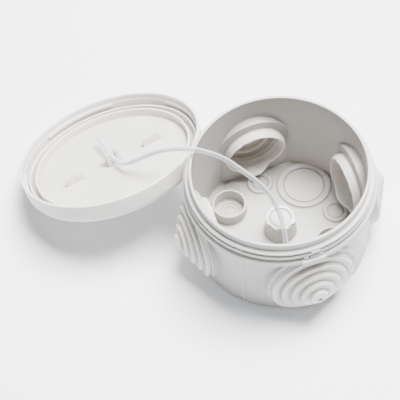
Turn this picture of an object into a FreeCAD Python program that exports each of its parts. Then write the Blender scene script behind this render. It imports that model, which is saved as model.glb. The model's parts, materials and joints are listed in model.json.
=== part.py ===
import FreeCAD, Part
import Sketcher
import math
import os
from FreeCAD import Placement, Rotation, Vector

# Round junction box, 80 mm wide and 50 mm high when closed, with four soft
# stepped grommets and a lid that a soft cord keeps on the box.
# Millimetres, +Z up. The origin is on the cup's axis, in its bottom face, and
# the cable entries face +X, +Y, -X and -Y. The lid lies open beside the cup.

doc = FreeCAD.newDocument("JunctionBox")
sheet = doc.addObject("Spreadsheet::Sheet", "Sizes")

sizeTable = [
    # the cup
    ("boxHeight", 48.0, "floor to top of the lip"),
    ("innerRadius", 35.0, "inside of the wall and lip"),
    ("footWall", 1.8, "wall at its foot"),
    ("wallThick", 2.4, "wall under the flange"),
    ("floorThick", 2.0, "floor"),
    ("footChamfer", 0.8, "bevel round the foot"),
    ("lipThick", 1.1, "lip that the lid's seal takes"),
    ("lipHeight", 4.0, "lip above its ledge"),
    ("ledgeWidth", 2.9, "ledge round the lip, from the hollow out"),
    ("ledgeThick", 0.7, "ledge"),
    ("bandWidth", 3.2, "band that the lid snaps over, from the hollow out"),
    ("bandHeight", 1.4, "band"),
    ("grooveWidth", 2.2, "bottom of the grooves beside the band, from the hollow out"),
    ("grooveHeight", 0.7, "each groove"),
    ("flangeWidth", 4.2, "flange that the lid's skirt sits on, from the hollow out"),
    ("flangeHeight", 2.3, "flange"),
    ("tabProud", 0.7, "catch tab off the flange"),
    ("tabHeight", 3.0, "catch tab"),
    ("tabAngle", 261.5, "start of the catch tab"),
    ("tabSpanAngle", 15.0, "catch tab, in degrees"),
    ("bridgeSpanAngle", 4.0, "bridge across the upper groove, in degrees"),
    ("bridgeShiftAngle", 7.0, "from the tab's start to the bridge, in degrees"),
    ("seamAngle", 225.5, "mould seam on the wall"),
    ("seamWidth", 0.5, "mould seam"),
    ("seamProud", 0.15, "mould seam off the wall"),
    # the cable entries
    ("padDepth", 3.7, "flat pad inside the hollow's radius"),
    ("padRim", 3.8, "arch of the flat pad round the hole"),
    ("bossProud", 1.0, "flat outer face outside the hollow's radius"),
    ("bossRim", 1.8, "boss round the grommet's flange"),
    ("holeRim", 3.6, "grommet's flange round the hole"),
    ("entryFoot", 3.4, "under the grommet's flange"),
    ("entryGap", 0.4, "from the grommet's flange up to the cup's"),
    # the floor
    ("ringInset", 9.8, "small rings, in from the wall"),
    ("smallRing", 5.7, "small ring outside"),
    ("smallDisc", 3.0, "disc in the small ring"),
    ("knockoutInset", 10.5, "large rings, in from the wall"),
    ("knockoutRing", 11.8, "large ring outside"),
    ("knockoutDisc", 8.4, "disc in the large ring"),
    ("ringShoulder", 0.6, "slope outside the rings' crest"),
    ("ringWidth", 0.9, "rings' crest"),
    ("ringHeight", 0.8, "rings' crest above the floor"),
    ("discHeight", 0.4, "discs above the floor"),
    ("discGroove", 0.3, "width and depth of the groove round each disc"),
    ("wellInset", 11.25, "screw wells, in from the wall"),
    ("wellRadius", 7.2, "screw well outside"),
    ("wellWall", 0.8, "screw well's wall"),
    ("wellHeight", 5.0, "screw well above the floor"),
    ("wellSink", 0.7, "screw well's seat below the floor"),
    ("screwSeat", 4.1, "cone in the seat, its upper radius"),
    ("screwTip", 2.9, "cone in the seat, its lower radius"),
    ("screwSink", 0.6, "cone's depth"),
    ("postFoot", 6.9, "centre post at the floor"),
    ("postTop", 6.0, "centre post at its top"),
    ("postHeight", 8.4, "centre post above the floor"),
    ("postBore", 4.7, "hollow in the centre post"),
    ("studX", -2.2, "stud for the cord"),
    ("studY", -13.5, "stud for the cord"),
    ("studRadius", 2.9, "stud outside"),
    ("studHeight", 3.0, "stud above the floor"),
    ("studGap", 0.5, "round the cord in the stud"),
    # the cap on the centre post
    ("capThick", 1.1, "cap's plate"),
    ("capPlug", 4.0, "length of the plug in the post"),
    ("capGap", 0.1, "round the plug"),
    ("capRing", 4.8, "raised ring on the cap, outside"),
    ("capRingWidth", 0.8, "raised ring"),
    ("capRingHeight", 0.5, "raised ring"),
    # the grommets
    ("coneLength", 9.6, "tip of the cone off the boss"),
    ("coneTip", 3.5, "radius of the cone's tip"),
    ("flangeThick", 1.7, "flange that lies on the boss"),
    ("coneFall", 0.35, "fall of each step's face and side"),
    ("skin", 1.4, "wall of the soft cone"),
    ("fitGap", 0.1, "round the neck in its hole"),
    ("collarLip", 0.7, "collar wider than the neck"),
    ("collarLength", 5.1, "collar inside the pad"),
    ("collarShrink", 1.0, "collar narrower at its end"),
    ("collarSkin", 0.9, "wall at the collar's end"),
    # the lid
    ("mouthGap", 0.7, "between the band and the skirt's edge"),
    ("skirtGap", 0.4, "between the band and the skirt above its step"),
    ("snapGap", 0.1, "between the band and the snap ribs"),
    ("skirtEdge", 1.1, "skirt at its open edge"),
    ("skirtShrink", 0.3, "skirt narrower at the plate"),
    ("lidHeight", 9.7, "lid"),
    ("lidRound", 4.0, "rounding round the plate"),
    ("plateThick", 1.5, "plate"),
    ("mouthDepth", 2.6, "inner step of the skirt"),
    ("sealGap", 0.4, "between the lip and each sealing ring"),
    ("sealWall", 1.0, "each sealing ring"),
    ("sealHeight", 3.4, "each sealing ring"),
    ("snapHeight", 2.4, "snap ribs"),
    ("snapSpanAngle", 50.0, "each snap rib, in degrees"),
    ("plateRibPitch", 18.7, "upright ribs, from the lid's axis"),
    ("plateRibLength", 8.4, "upright ribs"),
    ("plateRibThick", 1.1, "upright ribs"),
    ("plateRibHeight", 3.6, "upright ribs"),
    ("lowRibLength", 3.2, "low rib beside each upright rib"),
    ("clipGap", 0.3, "each side of the cord in the clip"),
    ("clipWidth", 1.9, "each clip post"),
    ("clipDepth", 3.6, "each clip post"),
    ("clipHeight", 5.8, "each clip post"),
    ("clipFoot", 1.1, "wedge at the foot of each post"),
    # where the open lid lies: beside the cup, and the turns that lay it down
    ("lidAside", 2.99, "from the hollow's radius to the lid's, between their axes"),
    ("lidAsideAngle", 138.06, "direction of the lid from the cup"),
    ("restGap", 0.1, "under the lid where it rests"),
    ("lidFaceAngle", 284.34, "direction that the lid is tipped in"),
    ("lidTipAngle", 156.84, "tip from plate up to plate down"),
    ("lidTurnAngle", 92.69, "turn about the lid's own axis"),
    # the cord
    ("cordRadius", 1.0, "soft cord"),
]

for row, (alias, value, note) in enumerate(sizeTable, start=1):
    sheet.set(f"A{row}", alias)
    sheet.set(f"B{row}", str(value))
    sheet.set(f"C{row}", note)
    sheet.setAlias(f"B{row}", alias)
doc.recompute()


class Size:
    """A length or angle: its number, and the expression that binds a feature to it."""

    def __init__(self, text, value):
        self.text, self.value = text, value

    @staticmethod
    def lift(other):
        return other if isinstance(other, Size) else Size(f"{other:g}", float(other))

    def __add__(self, other):
        other = Size.lift(other)
        return Size(f"({self.text} + {other.text})", self.value + other.value)

    def __sub__(self, other):
        other = Size.lift(other)
        return Size(f"({self.text} - {other.text})", self.value - other.value)

    def __mul__(self, other):
        other = Size.lift(other)
        return Size(f"({self.text} * {other.text})", self.value * other.value)

    def __truediv__(self, other):
        other = Size.lift(other)
        return Size(f"({self.text} / {other.text})", self.value / other.value)

    def __neg__(self):
        return Size(f"(0 - {self.text})", -self.value)


def size(alias):
    return Size(f"Sizes.{alias}", float(sheet.get(alias)))


def root(inside):
    return Size(f"sqrt({inside.text})", math.sqrt(inside.value))


def cosine(angle):
    return Size(f"cos({angle.text} * 1deg)", math.cos(math.radians(angle.value)))


def sine(angle):
    return Size(f"sin({angle.text} * 1deg)", math.sin(math.radians(angle.value)))


def least(a, b):
    return Size(f"min({a.text}; {b.text})", min(a.value, b.value))


zero = Size("0", 0.0)
coneSteps = 4
diagonal = math.sqrt(0.5)
legShare = 0.985  # the pad's leg ends just inside the wall
# the cap's torn edge, as shares of its radius, from +Y leftward
capEdge = [1.02, 1.01, 1.03, 1.02, 1.0, 1.03, 1.01, 0.98, 1.0, 0.93, 0.99, 1.06, 0.95, 0.96, 1.08, 1.15, 1.0]


# Sizes that follow from the sheet and are shared by several pieces

hollow = size("innerRadius")
lipOuter = hollow + size("lipThick")
bandRadius = hollow + size("bandWidth")
ledgeTop = size("boxHeight") - size("lipHeight")
bandTop = ledgeTop - size("ledgeThick") - size("grooveHeight")
bandFoot = bandTop - size("bandHeight")
flangeTop = bandFoot - size("grooveHeight")
flangeFoot = flangeTop - size("flangeHeight")
padPlane = hollow - size("padDepth")
bossFace = hollow + size("bossProud")
coneFlange = (flangeFoot - size("entryGap") - size("entryFoot")) / 2
entryHeight = size("entryFoot") + coneFlange
holeRadius = coneFlange - size("holeRim")
mouthRadius = bandRadius + size("mouthGap")
lidRadius = mouthRadius + size("skirtEdge")


# Sketch helpers

def newBody(name):
    body = doc.addObject("PartDesign::Body", name)
    body.Label = name
    return body


def originPart(body, role):
    return next(part for part in body.Origin.OriginFeatures if part.Role == role)


def newSketch(body, name, role, offset=zero, aside=zero):
    """A sketch on one of the body's own origin planes, moved along its normal
    and along its own horizontal axis."""
    sketch = body.newObject("Sketcher::SketchObject", name)
    sketch.AttachmentSupport = [(originPart(body, role), "")]
    sketch.MapMode = "FlatFace"
    sketch.AttachmentOffset = Placement(Vector(aside.value, 0, offset.value), Rotation())
    sketch.setExpression("AttachmentOffset.Base.x", aside.text)
    sketch.setExpression("AttachmentOffset.Base.z", offset.text)
    return sketch


def bind(sketch, kind, *where, value):
    """One driving constraint bound to the sheet."""
    index = sketch.addConstraint(Sketcher.Constraint(kind, *where, value.value))
    sketch.setExpression(f"Constraints[{index}]", value.text)


def hold(sketch, geometry, vertex, x, y):
    """Fixes one point of a sketch at x, y from the sketch's origin."""
    for kind, axis, value in (("DistanceX", -2, x), ("DistanceY", -1, y)):
        if value.text == "0":
            sketch.addConstraint(Sketcher.Constraint("PointOnObject", geometry, vertex, axis))
        else:
            bind(sketch, kind, -1, 1, geometry, vertex, value=value)


def outline(sketch, corners):
    """A closed outline. A corner is (x, y), or (x, y, radius, turn) where the
    stretch that ends there is an arc, turning left for 1 and right for -1."""
    first = sketch.GeometryCount
    tips = []
    for start, end in zip(corners[-1:] + corners[:-1], corners):
        a = Vector(start[0].value, start[1].value, 0)
        b = Vector(end[0].value, end[1].value, 0)
        if len(end) == 2:
            sketch.addGeometry(Part.LineSegment(a, b), False)
            tips.append((1, 2))
            continue
        radius, turn = end[2].value, end[3]
        chord = b - a
        left = Vector(-chord.y, chord.x, 0).normalize() * turn
        rise = math.sqrt(max(radius ** 2 - (chord.Length / 2) ** 2, 0))
        middle = (a + b) * 0.5 + left * (rise - radius)
        sketch.addGeometry(Part.Arc(a, middle, b), False)
        # a sketch counts an arc's ends leftward
        tips.append((1, 2) if turn == 1 else (2, 1))
    for i, corner in enumerate(corners):
        after = (i + 1) % len(corners)
        sketch.addConstraint(Sketcher.Constraint(
            "Coincident", first + i, tips[i][1], first + after, tips[after][0]))
        hold(sketch, first + i, tips[i][1], corner[0], corner[1])
        if len(corner) == 4:
            bind(sketch, "Radius", first + i, value=corner[2])


def circle(sketch, x, y, radius):
    index = sketch.addGeometry(Part.Circle(Vector(x.value, y.value, 0), Vector(0, 0, 1), radius.value), False)
    hold(sketch, index, 3, x, y)
    bind(sketch, "Radius", index, value=radius)


def rectangle(sketch, x0, y0, x1, y1):
    outline(sketch, [(x0, y0), (x1, y0), (x1, y1), (x0, y1)])


def sector(sketch, radiusIn, radiusOut, start, span):
    """A closed ring sector, its angles in degrees."""
    cosines = [cosine(start), cosine(start + span)]
    sines = [sine(start), sine(start + span)]
    outline(sketch, [(radiusIn * cosines[0], radiusIn * sines[0], radiusIn, -1),
                     (radiusOut * cosines[0], radiusOut * sines[0]),
                     (radiusOut * cosines[1], radiusOut * sines[1], radiusOut, 1),
                     (radiusIn * cosines[1], radiusIn * sines[1])])


def pad(body, name, sketch, length, cut=False, reverse=False):
    feature = body.newObject("PartDesign::Pocket" if cut else "PartDesign::Pad", name)
    feature.Profile = sketch
    feature.Length = length.value
    feature.setExpression("Length", length.text)
    feature.Reversed = reverse
    doc.recompute()
    return feature


def revolve(body, name, sketch, axis, cut=False):
    feature = body.newObject("PartDesign::Groove" if cut else "PartDesign::Revolution", name)
    feature.Profile = sketch
    feature.ReferenceAxis = (sketch, [axis])
    feature.Angle = 360
    doc.recompute()
    return feature


def polar(body, name, features, count):
    pattern = body.newObject("PartDesign::PolarPattern", name)
    pattern.Originals = features
    pattern.Axis = (originPart(body, "Z_Axis"), [""])
    pattern.Angle = 360
    pattern.Occurrences = count
    body.Tip = pattern
    doc.recompute()
    return pattern


# The cup

def makeHousing():
    body = newBody("base_housing")
    top, floor = size("boxHeight"), size("floorThick")
    middle = hollow + size("lipThick") / 2
    foot, wall = hollow + size("footWall"), hollow + size("wallThick")
    groove, ledge = hollow + size("grooveWidth"), hollow + size("ledgeWidth")
    flange = hollow + size("flangeWidth")
    bossRadius, padRadius = coneFlange + size("bossRim"), holeRadius + size("padRim")

    # the wall as a full drum, with its slight draft
    drum = newSketch(body, "DrumSketch", "XZ_Plane")
    outline(drum, [(zero, zero), (foot - size("footChamfer"), zero), (foot, size("footChamfer")),
                   (wall, flangeFoot), (lipOuter, flangeFoot), (lipOuter, top), (zero, top)])
    revolve(body, "Drum", drum, "V_Axis")

    # a round boss at each cable entry, with a flat face
    boss = newSketch(body, "BossSketch", "YZ_Plane", padPlane)
    circle(boss, zero, entryHeight, bossRadius)
    bossPad = pad(body, "Boss", boss, bossFace - padPlane)
    flat = newSketch(body, "FlatSketch", "YZ_Plane", bossFace)
    circle(flat, zero, entryHeight, bossRadius)
    flatCut = pad(body, "Flat", flat, bossRadius, cut=True, reverse=True)
    polar(body, "Bosses", [bossPad, flatCut], 4)

    # the hollow
    room = newSketch(body, "HollowSketch", "XZ_Plane")
    outline(room, [(zero, floor), (hollow, floor), (hollow, top + floor), (zero, top + floor)])
    revolve(body, "Hollow", room, "V_Axis", cut=True)

    # a flat pad inside each entry: a leg down to the floor under a round arch
    leg = newSketch(body, "LegSketch", "XY_Plane", floor / 2)
    chord = root(middle * middle - padPlane * padPlane)
    halfLeg = least(padRadius, chord * legShare)
    back = root(middle * middle - halfLeg * halfLeg)
    outline(leg, [(padPlane, -halfLeg), (back, -halfLeg), (back, halfLeg, middle, 1), (padPlane, halfLeg)])
    legPad = pad(body, "Leg", leg, entryHeight - floor / 2)
    arch = newSketch(body, "ArchSketch", "YZ_Plane", padPlane)
    outline(arch, [(-padRadius, entryHeight, padRadius, 1), (padRadius, entryHeight),
                   (zero, entryHeight + padRadius, padRadius, 1)])
    archPad = pad(body, "Arch", arch, bossFace - padPlane)
    hole = newSketch(body, "HoleSketch", "YZ_Plane", padPlane - floor)
    circle(hole, zero, entryHeight, holeRadius)
    holeCut = pad(body, "Hole", hole, bossFace - padPlane + floor * 2, cut=True, reverse=True)
    polar(body, "Entries", [legPad, archPad, holeCut], 4)

    # ledge, band and flange, with the two grooves between them
    rim = newSketch(body, "RimSketch", "XZ_Plane")
    ledgeFoot = ledgeTop - size("ledgeThick")
    outline(rim, [(middle, flangeFoot), (flange, flangeFoot), (flange, flangeTop), (groove, flangeTop),
                  (groove, bandFoot), (bandRadius, bandFoot), (bandRadius, bandTop), (groove, bandTop),
                  (groove, ledgeFoot), (ledge, ledgeFoot), (ledge, ledgeTop), (middle, ledgeTop)])
    revolve(body, "Rim", rim, "V_Axis")

    # the catch tab on the flange, and the bridge across the upper groove
    tab = newSketch(body, "TabSketch", "XY_Plane", bandFoot - size("tabHeight"))
    sector(tab, groove, flange + size("tabProud"), size("tabAngle"), size("tabSpanAngle"))
    pad(body, "Tab", tab, size("tabHeight"))
    bridge = newSketch(body, "BridgeSketch", "XY_Plane", bandTop)
    sector(bridge, middle, ledge, size("tabAngle") + size("bridgeShiftAngle"), size("bridgeSpanAngle"))
    pad(body, "Bridge", bridge, size("grooveHeight"))

    # the mould seam on the wall
    seam = newSketch(body, "SeamSketch", "XY_Plane", size("footChamfer"))
    halfSeam = size("seamWidth") / foot * (90 / math.pi)
    sector(seam, middle, wall + size("seamProud"), size("seamAngle") - halfSeam, halfSeam * 2)
    pad(body, "Seam", seam, flangeFoot - size("footChamfer"))

    addFloor(body, floor)
    return body


def addRings(body, name, floor, outside, disc, x, y, count):
    """Raised rings round a knock-out disc: a sloped shoulder, a crest, a fall to
    the disc and a thin groove round it. One is drawn and the rest turned."""
    crest, level = floor + size("ringHeight"), floor + size("discHeight")
    inside = outside - size("ringShoulder")
    groove = size("discGroove")
    sketch = newSketch(body, name + "Sketch", "XZ_Plane", -y, x)
    outline(sketch, [(zero, floor / 2), (outside, floor / 2), (outside, floor), (inside, crest),
                     (inside - size("ringWidth"), crest), (disc + groove, level),
                     (disc + groove, level - groove), (disc, level - groove), (disc, level), (zero, level)])
    ring = revolve(body, name + "Ring", sketch, "V_Axis")
    polar(body, name + "Rings", [ring], count)


def addFloor(body, floor):
    """Knock-out rings, screw wells, the centre post and the cord's stud."""
    pitch = hollow - size("ringInset")
    addRings(body, "Small", floor, size("smallRing"), size("smallDisc"), pitch, zero, 4)
    far = (hollow - size("knockoutInset")) * diagonal
    addRings(body, "Large", floor, size("knockoutRing"), size("knockoutDisc"), far, far, 2)

    place = (hollow - size("wellInset")) * diagonal
    bore = size("wellRadius") - size("wellWall")
    wall = newSketch(body, "WellSketch", "XY_Plane", floor)
    seat = newSketch(body, "SeatSketch", "XY_Plane", floor)
    cone = newSketch(body, "ScrewSketch", "XY_Plane", floor - size("wellSink"))
    for x, y in ((-place, place), (place, -place)):
        circle(wall, x, y, size("wellRadius"))
        circle(wall, x, y, bore)
        circle(seat, x, y, bore)
        circle(cone, x, y, size("screwSeat"))
    pad(body, "WellWalls", wall, size("wellHeight"))
    pad(body, "WellSeats", seat, size("wellSink"), cut=True)
    screws = pad(body, "ScrewSeats", cone, size("screwSink"), cut=True)
    taper = (size("screwSeat") - size("screwTip")) / size("screwSink")
    screws.TaperAngle = -math.degrees(math.atan(taper.value))
    screws.setExpression("TaperAngle", f"-atan({taper.text})")

    post = newSketch(body, "PostSketch", "XZ_Plane")
    postEnd = floor + size("postHeight")
    outline(post, [(size("postBore"), floor / 2), (size("postFoot"), floor / 2), (size("postFoot"), floor),
                   (size("postTop"), postEnd), (size("postBore"), postEnd)])
    revolve(body, "Post", post, "V_Axis")

    stud = newSketch(body, "StudSketch", "XY_Plane", floor)
    circle(stud, size("studX"), size("studY"), size("studRadius"))
    circle(stud, size("studX"), size("studY"), size("cordRadius") + size("studGap"))
    pad(body, "Stud", stud, size("studHeight"))


# The soft stepped grommets

def makeGrommet(name, quarter, notchAngle, notchShare):
    """A soft stepped cone turned about its own axis, +X here, then set at its
    entry. The notch is where its collar was trimmed: its direction, and its
    depth as a share of the collar."""
    body = newBody(name)
    reach, tip = bossFace + size("coneLength"), size("coneTip")
    wide = (coneFlange - tip) / coneSteps
    rise = (size("coneLength") - size("flangeThick")) / coneSteps
    fall, skin = size("coneFall"), size("skin")
    neck = holeRadius - size("fitGap")
    collarRoot = neck + size("collarLip")
    collarEnd = padPlane - size("collarLength")
    collarTip = collarRoot - size("collarShrink")
    bore = collarTip - size("collarSkin")
    fronts = [reach - rise * step for step in range(coneSteps + 1)]
    radii = [tip + wide * step for step in range(coneSteps + 1)]

    corners = [(reach, zero), (reach, tip)]
    for step in range(1, coneSteps + 1):
        corners.append((fronts[step] + fall, radii[step - 1] + fall))
        corners.append((fronts[step], radii[step]))
    corners += [(bossFace, coneFlange), (bossFace, neck), (padPlane, neck), (padPlane, collarRoot),
                (collarEnd, collarTip), (collarEnd, bore), (fronts[coneSteps - 1] - skin, bore)]
    for step in range(coneSteps - 2, -1, -1):
        corners.append((fronts[step + 1] - skin, radii[step] - skin + fall))
        corners.append((fronts[step] - skin, radii[step] - skin))
    corners.append((reach - skin, zero))
    profile = newSketch(body, name + "_profile", "XZ_Plane")
    outline(profile, corners)
    revolve(body, name + "_turn", profile, "H_Axis")

    # the trimmed stretch of the collar
    trim = newSketch(body, name + "_trim", "YZ_Plane", collarEnd)
    side = Size(f"{notchAngle}", notchAngle)
    circle(trim, coneFlange * cosine(side), coneFlange * sine(side), size("collarLength") * 2)
    pad(body, name + "_trimCut", trim, size("collarLength") * notchShare, cut=True, reverse=True)

    body.Placement = Placement(Vector(0, 0, entryHeight.value), Rotation(Vector(0, 0, 1), 90 * quarter))
    body.setExpression("Placement.Base.z", entryHeight.text)
    return body


# The plug on the centre post, its edge torn at the front

def makeCap():
    body = newBody("screw_well_cap")
    seat = size("floorThick") + size("postHeight")
    edge = newSketch(body, "CapSketch", "XY_Plane", seat)
    corners = []
    for i, share in enumerate(capEdge):
        around = math.radians(90 + 360 * i / len(capEdge))
        reach = size("postTop") * share
        corners.append((reach * math.cos(around), reach * math.sin(around)))
    outline(edge, corners)
    pad(body, "CapPlate", edge, size("capThick"))
    plug = newSketch(body, "PlugSketch", "XY_Plane", seat)
    circle(plug, zero, zero, size("postBore") - size("capGap"))
    pad(body, "CapPlug", plug, size("capPlug"), reverse=True)
    ring = newSketch(body, "CapRingSketch", "XY_Plane", seat + size("capThick"))
    circle(ring, zero, zero, size("capRing"))
    circle(ring, zero, zero, size("capRing") - size("capRingWidth"))
    pad(body, "CapRing", ring, size("capRingHeight"))
    return body


# The lid, drawn with its plate up and its rim at z 0, then laid open

def makeLid():
    body = newBody("lid_shell")
    tall, rounding = size("lidHeight"), size("lidRound")
    plate = tall - size("plateThick")
    skirt = bandRadius + size("skirtGap")
    sealOut, sealIn = lipOuter + size("sealGap"), hollow - size("sealGap")
    sealFoot = plate - size("sealHeight")
    outside = lidRadius - size("skirtShrink")

    shell = newSketch(body, "LidSketch", "XZ_Plane")
    outline(shell, [(zero, plate), (sealIn - size("sealWall"), plate), (sealIn - size("sealWall"), sealFoot),
                    (sealIn, sealFoot), (sealIn, plate), (sealOut, plate), (sealOut, sealFoot),
                    (sealOut + size("sealWall"), sealFoot), (sealOut + size("sealWall"), plate),
                    (skirt, tall - rounding), (skirt, size("mouthDepth")), (mouthRadius, size("mouthDepth")),
                    (mouthRadius, zero), (lidRadius, zero), (outside, tall - rounding),
                    (outside - rounding, tall, rounding, 1), (zero, tall)])
    revolve(body, "Shell", shell, "V_Axis")

    # four snap ribs inside the skirt
    snap = newSketch(body, "SnapSketch", "XY_Plane", size("mouthDepth"))
    sector(snap, bandRadius + size("snapGap"), skirt + size("skirtGap"), -size("snapSpanAngle") / 2,
           size("snapSpanAngle"))
    rib = pad(body, "Snap", snap, size("snapHeight"))
    polar(body, "SnapRibs", [rib], 4)

    # two upright ribs on the plate, each with a low rib beside it
    near = size("plateRibPitch") - size("plateRibLength") / 2
    far = size("plateRibPitch") + size("plateRibLength") / 2
    thick = size("plateRibThick") / 2
    upright = newSketch(body, "UprightSketch", "XY_Plane", plate)
    rectangle(upright, near, -thick, far, thick)
    rectangle(upright, -far, -thick, -near, thick)
    pad(body, "Uprights", upright, size("plateRibHeight"), reverse=True)
    low = newSketch(body, "LowRibSketch", "XY_Plane", plate)
    rectangle(low, far - thick, -thick / 2, far + size("lowRibLength"), thick / 2)
    rectangle(low, -far - size("lowRibLength"), -thick / 2, -far + thick, thick / 2)
    pad(body, "LowRibs", low, thick, reverse=True)

    # two clip posts that pinch the cord, each with a wedge at its foot
    slot = size("cordRadius") + size("clipGap")
    depth = size("clipDepth") / 2
    posts = newSketch(body, "ClipSketch", "XY_Plane", plate)
    rectangle(posts, slot, -depth, slot + size("clipWidth"), depth)
    rectangle(posts, -slot - size("clipWidth"), -depth, -slot, depth)
    pad(body, "ClipPosts", posts, size("clipHeight"), reverse=True)
    wedge = newSketch(body, "WedgeSketch", "XZ_Plane", -depth / 2)
    edge, foot = slot + size("clipWidth"), size("clipFoot")
    outline(wedge, [(edge, plate), (edge, plate - foot), (edge + foot, plate)])
    outline(wedge, [(-edge, plate), (-edge - foot, plate), (-edge, plate - foot)])
    pad(body, "Wedges", wedge, depth)

    # laid open beside the cup: the rounding round the plate is what touches the table
    face, tip, turn = size("lidFaceAngle"), size("lidTipAngle"), size("lidTurnAngle")
    aside = hollow + lidRadius + size("lidAside")
    low = (outside - rounding) * sine(tip) + (rounding - tall) * cosine(tip) + rounding
    side = size("lidAsideAngle")
    centre = (aside * cosine(side), aside * sine(side), low + size("restGap"))
    turns = Rotation(Vector(0, 0, 1), face.value) * Rotation(Vector(0, 1, 0), tip.value)
    turns = turns * Rotation(Vector(0, 0, 1), turn.value)
    body.Placement = Placement(Vector(*(part.value for part in centre)), turns)
    for axis, part in zip("xyz", centre):
        body.setExpression("Placement.Base." + axis, part.text)
    return body


# The cord: straight runs joined by tangent arcs, each arc as large as its runs allow

cordRoute = [
    (-2.2, -13.5, 2.0), (-2.2, -13.5, 7.5), (-0.5, -5.0, 15.0), (-2.0, 2.0, 24.0), (-6.5, 5.0, 33.5),
    (-12.5, 7.0, 42.5), (-19.5, 12.5, 49.5), (-29.0, 18.0, 52.5), (-36.0, 25.0, 47.0), (-41.5, 31.5, 39.5),
    (-47.5, 36.0, 32.0), (-54.0, 39.8, 25.2), (-56.5, 45.2, 20.6), (-58.7, 56.2, 16.6), (-60.0, 65.5, 14.4),
]


def makeCord():
    points = [Vector(*point) for point in cordRoute]
    radius = size("cordRadius").value
    edges, here = [], points[0]
    for before, corner, after in zip(points, points[1:], points[2:]):
        arrive, leave = (corner - before), (after - corner)
        reach = 0.45 * min(arrive.Length, leave.Length)
        half = arrive.getAngle(leave) / 2
        bend = reach / math.tan(half)
        start = corner - arrive.normalize() * reach
        end = corner + leave.normalize() * reach
        inward = (start + end) * 0.5 - corner
        middle = corner + inward.normalize() * (bend / math.cos(half) - bend)
        print(f"cord corner {tuple(round(v, 1) for v in corner)} radius {bend:.1f}")
        edges += [Part.makeLine(here, start), Part.Arc(start, middle, end).toShape()]
        here = end
    edges.append(Part.makeLine(here, points[-1]))
    path = Part.Wire(edges)
    section = Part.Wire([Part.makeCircle(radius, points[0], points[1] - points[0])])
    tube = path.makePipeShell([section], True, False)
    expected = math.pi * radius ** 2 * path.Length
    print(f"cord length {path.Length:.1f}, volume {tube.Volume:.1f} of {expected:.1f}")
    cord = doc.addObject("Part::Feature", "tether_cord")
    cord.Label = "tether_cord"
    cord.Shape = tube
    cord.Placement = Placement()
    return cord


# the grommets from +X leftward: where each collar was trimmed, and how deep
trims = {"right": (200, 0.6), "back": (215, 0.85), "left": (330, 0.4), "front": (250, 0.65)}
pieces = [makeHousing(), makeLid(), makeCap(), makeCord()]
for quarter, (side, trim) in enumerate(trims.items()):
    pieces.append(makeGrommet("cable_grommet_" + side, quarter, *trim))
doc.recompute()

for thing in doc.Objects:
    if "Invalid" in thing.State or "Error" in thing.State:
        raise RuntimeError(f"{thing.Name} failed: {thing.State}")
os.makedirs("parts", exist_ok=True)
for piece in pieces:
    shape = piece.Shape
    if shape.isNull() or not shape.isValid() or len(shape.Solids) != 1:
        raise RuntimeError(f"{piece.Label} isn't one valid solid")
    print(piece.Label, f"volume {shape.Volume:.0f}", "box", [round(v, 2) for v in (
        shape.BoundBox.XMin, shape.BoundBox.YMin, shape.BoundBox.ZMin,
        shape.BoundBox.XMax, shape.BoundBox.YMax, shape.BoundBox.ZMax)])
for piece in pieces:
    piece.Shape.exportStep(f"parts/{piece.Label}.step")
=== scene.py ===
import json
import math
import bmesh
import bpy
import numpy as np
from mathutils import Matrix, Vector

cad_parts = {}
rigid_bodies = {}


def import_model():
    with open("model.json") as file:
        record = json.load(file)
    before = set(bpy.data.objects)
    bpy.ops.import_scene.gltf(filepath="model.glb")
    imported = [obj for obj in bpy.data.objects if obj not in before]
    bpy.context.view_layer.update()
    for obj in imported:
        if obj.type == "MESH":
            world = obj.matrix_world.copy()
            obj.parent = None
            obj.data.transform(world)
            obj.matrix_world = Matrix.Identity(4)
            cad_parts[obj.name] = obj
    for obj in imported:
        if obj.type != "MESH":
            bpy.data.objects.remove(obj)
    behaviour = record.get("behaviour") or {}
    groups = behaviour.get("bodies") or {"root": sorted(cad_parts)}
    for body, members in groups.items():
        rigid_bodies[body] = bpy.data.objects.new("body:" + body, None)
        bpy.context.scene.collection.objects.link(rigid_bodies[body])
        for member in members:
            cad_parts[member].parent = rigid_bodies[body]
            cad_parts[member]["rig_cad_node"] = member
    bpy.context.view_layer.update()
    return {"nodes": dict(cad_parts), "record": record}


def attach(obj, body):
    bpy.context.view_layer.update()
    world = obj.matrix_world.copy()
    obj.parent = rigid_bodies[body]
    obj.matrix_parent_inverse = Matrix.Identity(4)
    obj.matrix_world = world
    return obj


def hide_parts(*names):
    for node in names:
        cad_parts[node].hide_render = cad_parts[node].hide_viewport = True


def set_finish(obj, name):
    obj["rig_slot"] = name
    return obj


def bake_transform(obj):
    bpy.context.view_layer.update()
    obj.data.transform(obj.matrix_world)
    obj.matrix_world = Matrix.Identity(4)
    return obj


# Round junction box with its lid laid open on a soft cord.
# Sizes in the dictionaries are millimetres, in the frame of the CAD nodes.

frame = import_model()
mm = 0.001
rng = np.random.default_rng(11)


# Camera: fitted to the photo

view = {
    "focalPx": 1400, "framePx": 400, "film": 36,
    "downDeg": 56.76, "rollDeg": -6.243, "turnDeg": 13.7,
    "offset": (34.21, -13.60, 594.65),  # from the lens to the part's origin: right, up, forward
    "near": 0.01, "far": 10,  # metres
}


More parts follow.
